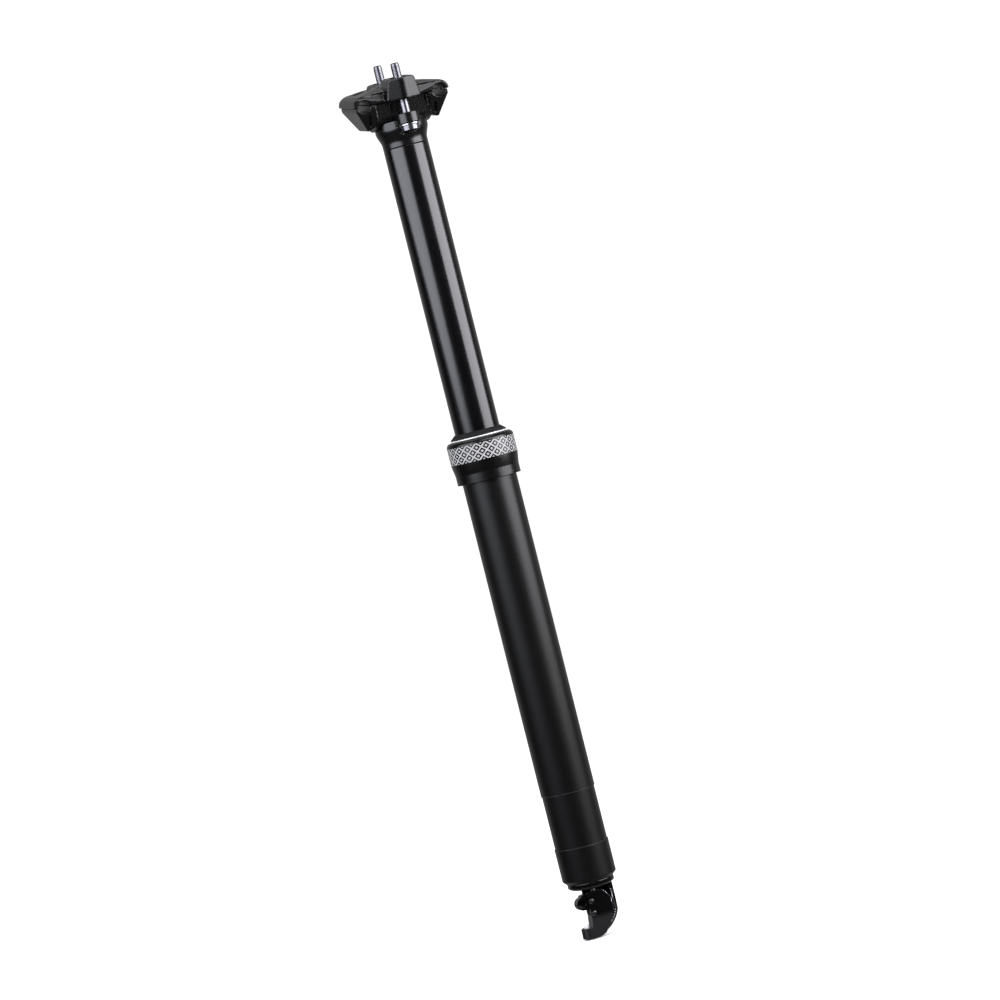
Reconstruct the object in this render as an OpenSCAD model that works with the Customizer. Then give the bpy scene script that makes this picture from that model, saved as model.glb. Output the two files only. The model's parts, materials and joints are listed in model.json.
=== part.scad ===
// Dropper seatpost: a stanchion slides in an outer tube on a locking gas cartridge, and a
// lever under the tube's foot pushes the pin that unlocks it.
// The origin is on the post's axis at the collar's underside. +Z points up to the saddle,
// -Y to the front of the bicycle. Sizes are in millimetres.

/* [Outer tube] */
// Diameter of the outer tube, which is the post's nominal size
tube_d = 30.9; // [30.4:0.1:34.9]
// Wall of the outer tube at its full diameter
tube_wall = 1.75; // [1.6:0.05:2]
// Length of full-diameter tube below the collar
tube_len = 180; // [160:1:260]
// Length of the turned-down band at the tube's foot
band_len = 31; // [10:1:60]
// Radial depth that the band is turned down
band_step = 0.42; // [0.1:0.02:0.6]
// Length of the threaded foot that the end cap screws on to
foot_len = 14; // [10:0.5:20]
// Wall of the threaded foot
foot_wall = 0.85; // [0.75:0.05:1]
// Length of the threaded neck that the collar screws on to
neck_len = 12; // [9:0.5:14]
// Radial depth that the threaded neck is turned down
neck_step = 0.5; // [0.3:0.05:0.7]

/* [Collar] */
// How far the collar's foot stands proud of the tube
collar_foot_rim = 2.65; // [2:0.05:4]
// How far the collar's patterned band stands proud of the tube
collar_band_rim = 3.7; // [3:0.05:6]
// How far the rim of the collar's top stands proud of the tube
collar_top_rim = 0.95; // [0.8:0.05:1.8]
// Height of the collar's straight foot
collar_foot_h = 5.2; // [3:0.1:9]
// Height of the taper above the foot
collar_taper_h = 6.6; // [4:0.1:9]
// Height of the band
collar_band_h = 9.6; // [6:0.1:14]
// Height of the rounded shoulder above the band
collar_shoulder_h = 2.8; // [2:0.1:4]

/* [Wiper] */
// Radial wall of the wiper seal in its pocket
seal_wall = 1.4; // [1:0.05:1.7]
// Radial width of the bright wire ring round the wiper
ring_w = 0.95; // [0.6:0.05:1.2]
// Thickness of the bright wire ring
ring_t = 0.9; // [0.6:0.05:1.5]
// Reach of the wiper's lip beyond the stanchion at its foot
lip_rim = 3.1; // [2.8:0.05:3.4]
// Height of the upright edge of the lip
lip_edge_h = 0.5; // [0.3:0.05:1]
// Height of the lip's cone
lip_cone_h = 2.4; // [1.5:0.1:4]

/* [Stanchion] */
// Diameter of the stanchion
stanchion_d = 25.6; // [25.2:0.1:26]
// Wall of the stanchion
stanchion_wall = 1.6; // [1.5:0.05:1.8]
// Length of stanchion that stays in the tube at full height
guide_len = 63; // [60:0.5:90]
// Gap between the head and the wiper when fully lowered
top_stop_gap = 2.6; // [1:0.1:8]
// Gap between the stanchion and the tube's foot when fully lowered
foot_stop_gap = 2; // [1:0.1:6]

/* [Bushings and keys] */
// Length of the lower bushing
lower_bush_len = 14; // [8:0.5:20]
// Depth of the groove that holds the lower bushing
bush_groove = 0.8; // [0.4:0.05:0.9]
// Width of the slit in the lower bushing
bush_slit = 1.5; // [0.5:0.1:3]
// Length of stanchion left below the lower bushing
bush_toe = 3; // [2.6:0.1:5]
// Length of the upper bushing below its flange
upper_bush_len = 20; // [12:0.5:30]
// Thickness of the upper bushing's flange
bush_flange_t = 1.2; // [0.8:0.1:1.8]
// Number of keys that stop the stanchion turning
key_count = 3; // [2:1:4]
// Width of a key
key_w = 3; // [2:0.1:4]
// Length of a key
key_len = 15; // [8:0.5:20]
// Depth of a key in the stanchion's wall
key_sink = 0.8; // [0.5:0.05:1]
// Height of a key above the tube's bore, in its keyway
key_rise = 0.35; // [0.2:0.05:0.4]
// Gap between the lower bushing and the keys
key_lift = 6; // [3:0.5:10]
// Keyway left above the keys at full height
key_headroom = 5; // [2:0.5:8]

/* [Cartridge] */
// Diameter of the cartridge's cylinder
cylinder_d = 20.8; // [20:0.1:21.8]
// Bore of the cylinder
cylinder_bore = 18.4; // [17:0.1:18.8]
// Diameter of the hollow piston rod
rod_d = 10; // [9:0.1:11]
// Diameter of the rod's threaded stud through the end cap
stud_d = 8.6; // [8:0.1:8.8]
// Diameter of the rod's tip through the piston
tip_d = 7; // [6:0.1:8]
// Thickness of the gland's flange at the stanchion's foot
gland_flange_t = 4; // [3:0.5:6]
// Length of the gland inside the cylinder
gland_len = 12; // [9:0.5:18]
// Gap between the gland and the piston at full height
piston_gap = 1.5; // [0.5:0.1:4]
// Length of the piston
piston_len = 8; // [6:0.5:12]
// Width of a seal ring
seal_ring_w = 2.4; // [1.5:0.1:3]
// Radial depth of a seal ring
seal_ring_t = 1.4; // [1:0.1:1.6]
// Thickness of the nut on the piston
piston_nut_t = 3; // [2:0.1:5]
// Length of the floating piston between oil and gas
float_len = 10; // [7:0.5:14]
// Gap between the valve and the floating piston when fully lowered
float_gap = 6; // [3:0.5:12]
// Length of the plug that closes the cylinder's top
plug_len = 10; // [6:0.5:14]
// Thickness of the clip that holds the cartridge in the stanchion
clip_t = 1; // [0.8:0.1:1.2]
// Length of stanchion left below that clip
clip_toe = 0.7; // [0.5:0.1:1]
// Depth of the clip's groove
clip_depth = 0.5; // [0.3:0.05:0.6]
// Radial width of the clip
clip_w = 2; // [1.4:0.1:2.6]
// Gap between the ends of the clip
clip_opening = 4; // [2:0.5:7]

/* [Release pin] */
// Diameter of the release pin in the rod
pin_d = 3; // [2.4:0.1:3.2]
// Diameter of the pin's flange, which carries its spring
pin_flange_d = 6; // [5.8:0.1:6.2]
// Thickness of the pin's flange
pin_flange_t = 1.2; // [0.8:0.1:2]
// Length of the spring's chamber in the stud
spring_room = 8; // [7.5:0.5:9]
// Distance from the stud's end to the pin's flange
pin_flange_lift = 0.6; // [0.2:0.1:1]
// Wire of the pin's spring
spring_wire = 0.55; // [0.4:0.05:0.6]
// Number of curls in the pin's spring
spring_curls = 5; // [4:1:5]
// Diameter of the valve's head on the pin
valve_d = 5.6; // [4:0.1:6.4]
// Thickness of the valve's head
valve_t = 1.5; // [1:0.1:3]
// Height that the valve may lift
valve_lift = 1.6; // [1.6:0.1:2]

/* [End cap and actuator] */
// Thickness of the end cap's floor
cap_floor_t = 5.6; // [4:0.1:8]
// Height of the chamfer round the end cap
cap_chamfer_h = 2.1; // [1:0.1:3]
// Gap between the tube's foot and the end cap's floor
cap_gap = 1; // [0.4:0.1:2]
// Diameter of the bracket's base
base_d = 26.6; // [24:0.1:28]
// Thickness of the bracket's base
base_t = 2.6; // [2.2:0.1:4]
// Thickness of the nut on the rod's stud
stud_nut_t = 2; // [1.6:0.1:2.4]
// Width across the flats of that nut
stud_nut_af = 11.6; // [11:0.1:12]
// Distance of the bracket's screws from the post's axis
screw_reach = 9.8; // [9.6:0.1:10.4]
// Diameter of the bracket's screws
screw_d = 3; // [2.5:0.1:3.2]
// Length of the bracket's screws above the base
screw_grip = 4; // [3:0.1:4.5]
// Distance from the nut to the bracket's cheeks
cheek_gap = 1.8; // [1.6:0.1:2]
// Thickness of a cheek
cheek_t = 1.3; // [1:0.1:1.6]
// Width of the slot between the cheeks
cheek_slot = 6.6; // [6:0.1:7.2]
// Distance of the strap's outer face from the post's axis
strap_reach = 11.1; // [11:0.1:12]
// Thickness of the strap
strap_t = 2.6; // [2:0.1:3]
// Height of the cheeks from the hook's top to their top edge
cheek_h = 19.3; // [19:0.1:20]
// Depth of the hook below its top
hook_h = 6.3; // [6:0.1:8]
// Distance of the cheeks' open edge from the post's axis
cheek_left = 5.4; // [5.2:0.1:5.6]
// Distance of the cable from the post's axis
cable_reach = 8.7; // [8.5:0.1:8.9]
// Diameter of the seat for the cable housing's end cap
housing_d = 5.1; // [4.6:0.1:5.4]
// Depth of that seat from below
housing_depth = 4; // [3:0.1:4.5]
// Diameter of the ferrule that guides the cable above the hook
ferrule_d = 3.4; // [3:0.1:3.6]
// Height of the ferrule above the hook
ferrule_h = 1.7; // [1.4:0.1:2]
// Depth of the ferrule in the hook
ferrule_sink = 1; // [0.8:0.1:1.2]
// Width of the slot that the cable passes through
cable_slot = 1.8; // [1.4:0.1:2.2]
// Distance of the lever's pivot from the post's axis
pivot_reach = 3.5; // [3.2:0.1:3.8]
// Diameter of the pivot pin and the spacer pin
pivot_d = 2.5; // [2:0.1:2.8]
// How far these pins stand out of the cheeks
pivot_proud = 0.4; // [0.2:0.1:0.6]
// Distance from the pivot down to the spacer pin
spacer_drop = 6.9; // [6.8:0.1:8]
// Radius of the cam that lifts the release pin
cam_r = 4.5; // [4.2:0.1:4.6]
// Height of the pivot below the cheeks' top edge
pivot_depth = 4.8; // [4.7:0.1:5]
// Radius of the lever's hub
hub_r = 4.6; // [4:0.1:4.8]
// Distance of the lever's round nose from the post's axis
nose_reach = 8.2; // [8:0.1:8.4]
// Depth of the nose's centre below the pivot
nose_drop = 0.7; // [0.4:0.1:0.8]
// Radius of the nose
nose_r = 3.7; // [3.6:0.1:3.8]
// Height of the lever's brow, above the nose, over the pivot
brow_h = 4; // [3.6:0.1:4.2]
// Diameter of the seat for the cable's barrel
barrel_d = 4.1; // [3.6:0.1:4.4]
// Depth of that seat from the front
barrel_len = 4.6; // [4:0.1:5]
// How far the bracket's underside bulges from a straight line to a quarter ellipse
belly_round = 0.65; // [0.4:0.05:1]

/* [Saddle head] */
// Length of the head's spigot in the stanchion
spigot_len = 10; // [6:0.5:20]
// Bore up the middle of the spigot
spigot_bore = 15; // [10:0.5:17]
// Height of the neck's straight foot
neck_foot_h = 2.4; // [2:0.1:3]
// Radial growth of the neck above that foot
neck_flare = 2.1; // [1:0.1:2.2]
// Height over which the neck grows
neck_flare_h = 8; // [7:0.1:8.4]
// Height of the trough's lip above the stanchion's top
lip_h = 14.5; // [13.6:0.1:15]
// Height of the tilt axis, which crosses the rails' centres, above the stanchion's top
tilt_h = 27.5; // [27:0.1:28]
// Radius of the trough that the cradle tilts in
trough_r = 16; // [15.8:0.1:16.2]
// Distance between the two clamp bolts
bolt_spacing = 35; // [35:0.1:37]
// Diameter of a clamp bolt
bolt_d = 5; // [4.8:0.1:6]
// Diameter of a clamp bolt's head
bolt_head_d = 10.4; // [10:0.1:10.8]
// Height of a clamp bolt's head
bolt_head_h = 3; // [2.6:0.1:3.4]
// Width across the flats of the socket in the bolt's head
bolt_key_af = 4; // [3:0.5:5]
// Depth of that socket
bolt_key_depth = 1.8; // [1.4:0.1:2]
// Length of the front clamp bolt under its head
bolt_len = 35; // [34:0.5:40]
// How much longer the rear clamp bolt is
rear_bolt_extra = 3.2; // [1:0.1:4]
// Thickness of the washers under the bolts' heads
washer_t = 0.9; // [0.6:0.1:1.4]
// Diameter of those washers
washer_d = 11.4; // [11:0.1:11.8]
// Width of the ear that a bolt passes through
ear_w = 13.5; // [12:0.1:15]
// Thickness of the ear
ear_t = 6; // [5:0.1:6.5]
// Height of the ear's underside above the stanchion's top
ear_h = 11; // [10.8:0.1:11.6]

/* [Rail clamp] */
// Diameter of the saddle's rails
rail_d = 7; // [7:0.1:8]
// Distance between the rails' centres
rail_spacing = 44; // [43:0.1:45]
// Nose-down tilt of the clamp at rest, in degrees
rest_tilt = 8; // [0:1:10]
// Length of the clamp along the rails
clamp_len = 31; // [28:0.5:32]
// Gap between the cradle and the upper clamp on the rails
split_gap = 0.1; // [0.1:0.1:0.8]
// Reach of the wings from the middle of the post
wing_reach = 28; // [27.5:0.1:30]
// Height of the upper clamp's middle above the rails' centres
clamp_h = 8.2; // [8:0.1:9]
// How much lower the upper clamp's front and back edges are than its middle
clamp_crown = 2.6; // [2:0.1:3]
// Height of the front boss above the rails' centres
boss_h = 12.2; // [11:0.1:13]
// Height of the rear boss above the rails' centres
rear_boss_h = 8.6; // [8.4:0.1:10]
// Radius of the bosses' top corners
boss_round = 2.4; // [1:0.1:3]
// Half width of a boss at its foot
boss_foot = 10; // [9.4:0.1:11]
// Half width of a boss at its top
boss_top = 8.2; // [8:0.1:9]
// Reach of a boss beyond its bolt
boss_reach = 8.2; // [8:0.1:8.6]
// Angle of a boss's two end faces from the clamp's crosswise direction, in degrees
prow_angle = 28; // [20:1:28]
// Radius of the round nose between those faces
prow_r = 5; // [4.6:0.1:5.4]
// Depth of the long recess in each wing
wing_recess = 1.6; // [1.4:0.1:2]
// Radius of the round underside of a clamp nut
nut_r = 3.8; // [3.6:0.1:3.9]
// Length of a clamp nut
nut_len = 9; // [8:0.5:9]
// Height of a clamp nut's middle above the rails' centres
nut_h = 6.2; // [6.1:0.1:6.6]
// Largest tilt of the clamp either way from rest, in degrees
tilt_max = 10; // [4:1:10]
// Half length of the cradle's legs at their tips
leg_toe = 9; // [8:0.1:11]
// Height of the cradle's legs below the rails' centres
leg_h = 14.2; // [13.5:0.1:15]
// Height of the legs' inner corners above their tips
leg_hollow = 2.2; // [1:0.1:3]
// Width of the slit in the ends of the legs
leg_slit = 1.2; // [0.8:0.1:1.6]
// Half distance between the tips of the cradle's legs
leg_tip = 20.4; // [19.5:0.1:21.5]

/* [Fits] */
// Radial gap of parts that slide or turn on each other
run_gap = 0.05; // [0.02:0.01:0.08]
// Gap between parts that pass each other
clear_gap = 0.3; // [0.25:0.05:0.4]

/* [Hidden] */
$fn = 96;

// Overrun of a cut past the face that it opens
over = 1;

// Radii of the two tubes
tube_r = tube_d / 2;
bore_r = tube_r - tube_wall;
band_r = tube_r - band_step;
foot_r = bore_r + foot_wall;
neck_r = tube_r - neck_step;
stan_r = stanchion_d / 2;
stan_bore_r = stan_r - stanchion_wall;

// Heights down the outer tube, from the collar's underside
z_band = -tube_len;
z_foot = z_band - band_len;
z_tube_end = z_foot - foot_len;
z_floor = z_tube_end - cap_gap;
z_cap_end = z_floor - cap_floor_t;
z_base_end = z_cap_end - base_t;
z_stud_end = z_base_end - stud_nut_t;
z_cheek = z_stud_end - cheek_gap;
z_pivot = z_cheek - pivot_depth;
z_hook = z_cheek - cheek_h;
z_hook_end = z_hook - hook_h;

// Heights up the collar and the wiper
z_taper = collar_foot_h;
z_pattern = z_taper + collar_taper_h;
z_shoulder = z_pattern + collar_band_h;
z_collar_top = z_shoulder + collar_shoulder_h;
z_seal = neck_len + bush_flange_t;
z_lip = z_collar_top + ring_t;
z_lip_edge = z_lip + lip_edge_h;
z_wiper_top = z_lip_edge + lip_cone_h;
seal_r = stan_r + seal_wall;
ring_r = stan_r + lip_rim;

// Heights along the stanchion and the cartridge at full height
z_stan_foot = -guide_len;
travel = z_stan_foot - foot_stop_gap - z_tube_end;
z_stan_top = z_wiper_top + top_stop_gap + travel;
z_bush = z_stan_foot + bush_toe;
z_keys = z_bush + lower_bush_len + key_lift;
z_clip = z_stan_foot + clip_toe;
z_gland = z_clip + clip_t;
z_cylinder = z_gland + gland_flange_t;
z_gland_top = z_cylinder + gland_len;
z_spigot = z_stan_top - spigot_len;
z_piston = z_gland_top + piston_gap;
z_piston_top = z_piston + piston_len;
z_tip_end = z_piston_top + piston_nut_t;
z_valve = z_tip_end + run_gap;
rod_r = rod_d / 2;
stud_r = stud_d / 2;
tip_r = tip_d / 2;
cyl_bore_r = cylinder_bore / 2;
bush_r = stan_r - bush_groove;

// The floating piston rises as the rod takes up room in the oil
float_ratio = pow(rod_d / cylinder_bore, 2);
z_float = z_valve + valve_t + valve_lift + travel * (1 - float_ratio) + float_gap;

// The release pin and its spring
pin_r = pin_d / 2;
chamber_r = pin_flange_d / 2 + run_gap;
z_chamber = z_stud_end + spring_room;
z_pin_end = z_pivot + cam_r + clear_gap;
z_flange = z_stud_end + pin_flange_lift;
z_spring = z_flange + pin_flange_t;

// The head and the clamp
bolt_r = bolt_d / 2;
bolt_y = bolt_spacing / 2;
neck_max_r = stan_r + neck_flare;
z_head_lip = z_stan_top + lip_h;
z_ear = z_stan_top + ear_h;
z_bolt = z_ear - washer_t;
z_tilt = z_stan_top + tilt_h;
z_rail = z_tilt;
rail_x = rail_spacing / 2;
rail_r = rail_d / 2;
leg_in = neck_max_r + 2 * clear_gap;
cradle_half = bolt_y - bolt_r - 3 * over - clear_gap;
tilts = [rest_tilt - tilt_max, rest_tilt, rest_tilt + tilt_max];
crown_r = (pow(clamp_len / 2, 2) + pow(clamp_crown, 2)) / (2 * clamp_crown);

// The bracket and the lever, in the plane of their side faces
cheek_in = cheek_slot / 2;
cheek_out = cheek_in + cheek_t;
strap_in = strap_reach - strap_t;
cheek_right = strap_in - 2 * clear_gap;
lever_half = cheek_in - clear_gap;
pivot_r = pivot_d / 2;
z_nose = z_pivot - nose_drop;
z_barrel = z_pivot - nose_drop / 2;

// A round bar along the post, and a ring round it
module rod_z(r, z0, z1) translate([0, 0, z0]) cylinder(r = r, h = z1 - z0);
module ring_z(r_out, r_in, z0, z1) {
    difference() {
        rod_z(r_out, z0, z1);
        rod_z(r_in, z0 - over, z1 + over);
    }
}
// Round bars along X and along Y, centred on the post's middle plane
module bar_x(r, half, y, z) translate([-half, y, z]) rotate([0, 90, 0]) cylinder(r = r, h = 2 * half);
module bar_y(r, half, x, z) translate([x, half, z]) rotate([90, 0, 0]) cylinder(r = r, h = 2 * half);
// A side outline, drawn in X and Z, given a width along Y
module slab(y0, y1) translate([0, y1, 0]) rotate([90, 0, 0]) linear_extrude(y1 - y0) children();
// A side outline, drawn in Y and Z, given a width along X
module plank(x0, x1) translate([x0, 0, 0]) rotate([90, 0, 90]) linear_extrude(x1 - x0) children();
module box(x0, x1, y0, y1, z0, z1) translate([x0, y0, z0]) cube([x1 - x0, y1 - y0, z1 - z0]);
// A hexagonal bar along the post, of a width across its flats
module hex_z(af, z0, z1) translate([0, 0, z0]) cylinder(d = af / cos(30), h = z1 - z0, $fn = 6);
// Copies at the front and the back bolt
module at_bolts() for (side = [-1, 1]) translate([0, side * bolt_y, 0]) children();
// Turns the clamp about its tilt axis to where it rests
module tilted() translate([0, 0, z_tilt]) rotate([rest_tilt, 0, 0]) translate([0, 0, -z_tilt]) children();
// Where a bolt's axis crosses a height of the clamp, at each of its tilts
function bolt_at(side, tilt, h) = side * bolt_y / cos(tilt) + h * tan(tilt);
function bolt_path(side, heights) = [for (tilt = tilts) for (h = heights) bolt_at(side, tilt, h)];
// Copies round the post for each key
module at_keys() for (i = [0:key_count - 1]) rotate([0, 0, 90 + i * 360 / key_count]) children();
// Half outlines mirrored into whole ones
function flip(points) = [for (i = [len(points) - 1:-1:0]) [-points[i][0], points[i][1]]];
function whole(points) = concat(points, flip(points));
function between(a, b, t) = a + (b - a) * t;
// Points of an elliptical arc
function arc(c, rx, rz, a0, a1, n) =
    [for (i = [0:n]) let (a = between(a0, a1, i / n)) [c[0] + rx * cos(a), c[1] + rz * sin(a)]];

// The outer tube, with its turned-down band, threaded ends and inner keyways
module outer_tube() {
    keyway_top = z_keys + key_len + key_headroom;
    color("#1b1c1e") difference() {
        union() {
            rod_z(neck_r, -over, neck_len);
            rod_z(tube_r, z_band, 0);
            rod_z(band_r, z_foot, z_band + over);
            rod_z(foot_r, z_tube_end, z_foot + over);
        }
        rod_z(bore_r, z_tube_end - over, neck_len + over);
        at_keys() box(0, bore_r + key_rise + run_gap, -key_w / 2 - run_gap, key_w / 2 + run_gap,
            z_tube_end - over, keyway_top);
    }
}

// The collar that holds the wiper and the upper bushing on the tube
module collar() {
    band_out = tube_r + collar_band_rim;
    foot_out = tube_r + collar_foot_rim;
    top_out = tube_r + collar_top_rim;
    thread_r = neck_r + run_gap;
    profile = concat(
        [[thread_r, 0], [foot_out, 0], [foot_out, z_taper], [band_out, z_pattern]],
        arc([top_out, z_shoulder], band_out - top_out, collar_shoulder_h, 0, 90, 10),
        [[seal_r, z_collar_top], [seal_r, z_seal], [thread_r, z_seal]]);
    color("#202124") rotate_extrude() polygon(profile);
}

// The wiper seal: a sleeve in the collar with a conical lip on top
module wiper_seal() {
    inner = stan_r + run_gap;
    neck = ring_r - ring_w - run_gap;
    profile = [[inner, z_seal], [seal_r - run_gap, z_seal], [seal_r - run_gap, z_collar_top],
        [neck, z_collar_top], [neck, z_lip], [ring_r, z_lip], [ring_r, z_lip_edge],
        [inner + lip_edge_h / 2, z_wiper_top], [inner, z_wiper_top]];
    color("#141416") rotate_extrude() polygon(profile);
}

// The bright wire ring between the collar and the lip
module wiper_ring() {
    inner = ring_r - ring_w;
    color("#e4e6ea") rotate_extrude() translate([inner + ring_w / 2, z_collar_top + ring_t / 2])
        polygon([for (i = [0:15]) [ring_w / 2 * cos(i * 22.5), ring_t / 2 * sin(i * 22.5)]]);
}

module upper_bushing() {
    color("#6d6f6a") difference() {
        union() {
            rod_z(bore_r - run_gap, neck_len - upper_bush_len, neck_len + bush_flange_t);
            rod_z(neck_r, neck_len, neck_len + bush_flange_t);
        }
        rod_z(stan_r + run_gap, neck_len - upper_bush_len - over, neck_len + bush_flange_t + over);
    }
}

// The cup that screws on to the tube's foot and carries the piston rod
module end_cap() {
    base_r = base_d / 2;
    color("#1a1b1d") difference() {
        rotate_extrude() polygon([[0, z_cap_end], [base_r, z_cap_end],
            [tube_r, z_cap_end + cap_chamfer_h], [tube_r, z_foot], [foot_r + run_gap, z_foot],
            [foot_r + run_gap, z_floor], [0, z_floor]]);
        rod_z(stud_r + run_gap, z_cap_end - over, z_floor + over);
        at_screws() rod_z(screw_d / 2 + run_gap, z_cap_end - over, z_base_end + screw_grip + base_t);
    }
}

// Copies at the two screws that hold the bracket to the end cap
module at_screws() for (side = [-1, 1]) translate([0, side * screw_reach, 0]) children();

// The hollow rod, fixed in the end cap, that carries the piston
module piston_rod() {
    color("#c9ccd0") difference() {
        union() {
            rod_z(stud_r, z_stud_end, z_floor + over);
            rod_z(rod_r, z_floor, z_piston);
            rod_z(tip_r, z_piston - over, z_tip_end);
        }
        rod_z(pin_r + run_gap, z_stud_end - over, z_tip_end + over);
        rod_z(chamber_r, z_stud_end - over, z_chamber);
    }
}

module piston() {
    color("#b08d4a") difference() {
        rod_z(cyl_bore_r - 3 * run_gap, z_piston, z_piston_top);
        rod_z(tip_r + run_gap, z_piston - over, z_piston_top + over);
        seal_groove(cyl_bore_r, z_piston + piston_len / 2);
    }
}

// The groove of a seal ring, and the ring itself, that runs in a bore
module seal_groove(bore, z) ring_z(bore, bore - seal_ring_t, z - seal_ring_w / 2, z + seal_ring_w / 2);
module seal_ring(bore, z) {
    half = seal_ring_w / 2 - run_gap;
    ring_z(bore - run_gap, bore - seal_ring_t + run_gap, z - half, z + half);
}

module piston_ring() color("#26272a") seal_ring(cyl_bore_r, z_piston + piston_len / 2);

module piston_nut() {
    color("#9a9da1") difference() {
        hex_z(tip_d + 5, z_piston_top, z_tip_end);
        rod_z(tip_r + run_gap, z_piston_top - over, z_tip_end + over);
    }
}

module stud_nut() {
    color("#3a3c40") difference() {
        hex_z(stud_nut_af, z_stud_end, z_base_end);
        rod_z(stud_r + run_gap, z_stud_end - over, z_base_end + over);
    }
}

// The cast bracket: a round base, a strap down one side, two cheeks and the cable's hook
module actuator_bracket() {
    tip = cable_reach + housing_d / 2 + strap_t / 3;
    z_block = z_pivot - spacer_drop - pivot_r - run_gap;
    toe = strap_t / 2;
    corner = [-tip + toe, z_hook_end + toe];
    brow = [-tip + toe, z_hook - toe];
    gusset = stud_nut_af / sqrt(3) + 2 * clear_gap;
    z_step = z_cheek - over;
    z_back = z_stud_end - 2 * clear_gap;
    belly_start = [strap_reach, z_block];
    belly_stop = [-pivot_reach, z_hook_end];
    belly_steps = 10;
    belly = [for (i = [0:belly_steps]) let (
        t = i / belly_steps,
        chord = between(belly_start, belly_stop, t),
        oval = [belly_stop[0] + (belly_start[0] - belly_stop[0]) * cos(90 * t),
            belly_start[1] + (belly_stop[1] - belly_start[1]) * sin(90 * t)])
        between(chord, oval, belly_round)];
    front_cheek = [[-cheek_left, z_cheek], [cheek_right - 3 * cheek_t, z_cheek],
        [cheek_right, z_cheek - 4 * cheek_t], [cheek_right, z_block - over],
        [-cheek_left, z_block - over]];
    rear_cheek = [[-cheek_left, z_back], [gusset, z_back], [gusset, z_base_end + over],
        [strap_in + over, z_base_end + over], [strap_in + over, z_block - over],
        [-cheek_left, z_block - over]];
    strap = [[strap_in, z_base_end + over], [strap_reach, z_base_end + over], [strap_reach, z_block],
        [strap_in, z_block - over]];
    strap_side = [[strap_in, z_step], [strap_reach, z_step - 3 * cheek_t], [strap_reach, z_block],
        [strap_in, z_block - over]];
    block = concat([[-cheek_left, z_block]], belly, arc(corner, -toe, -toe, 90, 0, 4),
        arc(brow, -toe, toe, 0, 90, 4), [[-cheek_left - toe / 2, z_hook]]);
    color("#17181a") difference() {
        union() {
            rod_z(base_d / 2, z_base_end, z_cap_end);
            slab(-cheek_out, -cheek_in) polygon(front_cheek);
            slab(cheek_in, cheek_out) polygon(rear_cheek);
            slab(-cheek_in, cheek_in) polygon(strap);
            slab(-cheek_out, cheek_out) polygon(strap_side);
            intersection() {
                slab(-cheek_out, cheek_out) polygon(block);
                union() {
                    translate([cheek_out - tip, 0, 0]) rod_z(cheek_out, z_hook_end - over, z_block + over);
                    box(cheek_out - tip, strap_reach + over, -cheek_out, cheek_out,
                        z_hook_end - over, z_block + over);
                }
            }
        }
        rod_z(stud_r + run_gap, z_base_end - over, z_cap_end + over);
        at_screws() screw_shape(run_gap);
        bar_y(pivot_r + run_gap, cheek_out + over, -pivot_reach, z_pivot);
        bar_y(pivot_r + run_gap, cheek_out + over, -pivot_reach, z_pivot - spacer_drop);
        translate([-cable_reach, 0, 0]) {
            rod_z(housing_d / 2, z_hook_end - over, z_hook_end + housing_depth);
            rod_z(ferrule_d / 2 + run_gap, z_hook - ferrule_sink, z_hook + over);
            box(-tip, 0, -cable_slot / 2, cable_slot / 2, z_hook_end - over, z_hook + over);
        }
    }
}

// The split metal ferrule that keeps the cable clear of the hook
module cable_ferrule() {
    color("#c9ccd0") translate([-cable_reach, 0, 0]) difference() {
        rod_z(ferrule_d / 2, z_hook - ferrule_sink, z_hook + ferrule_h);
        rod_z(cable_slot / 2, z_hook - 2 * ferrule_sink, z_hook + 2 * ferrule_h);
        box(-ferrule_d, 0, -cable_slot / 2, cable_slot / 2,
            z_hook - 2 * ferrule_sink, z_hook + 2 * ferrule_h);
    }
}

// A countersunk screw, or its hole with a gap all round
module screw_shape(gap) {
    r = screw_d / 2 + gap;
    head_r = screw_d + gap;
    z_top = z_base_end + base_t + screw_grip;
    rotate_extrude() polygon([[0, z_base_end - gap], [head_r, z_base_end - gap],
        [r, z_base_end - gap + head_r - r], [r, z_top], [0, z_top]]);
}

module bracket_screws() {
    color("#a4a7ab") at_screws() difference() {
        screw_shape(0);
        hex_z(screw_d * 2 / 3, z_base_end - over, z_base_end + screw_d / 2);
    }
}

// A pin through both cheeks with a little dome at each end
module cheek_pin(z) {
    half = cheek_out + pivot_proud;
    color("#c4c7cb") difference() {
        bar_y(pivot_r, half, -pivot_reach, z);
        for (side = [-1, 1]) translate([-pivot_reach, side * half, z]) rotate([90, 0, 0])
            ring_z(pivot_r + over, pivot_r - pivot_proud / 2, -pivot_proud / 2, pivot_proud / 2);
    }
}
module pivot_pin() cheek_pin(z_pivot);
module spacer_pin() cheek_pin(z_pivot - spacer_drop);

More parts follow.
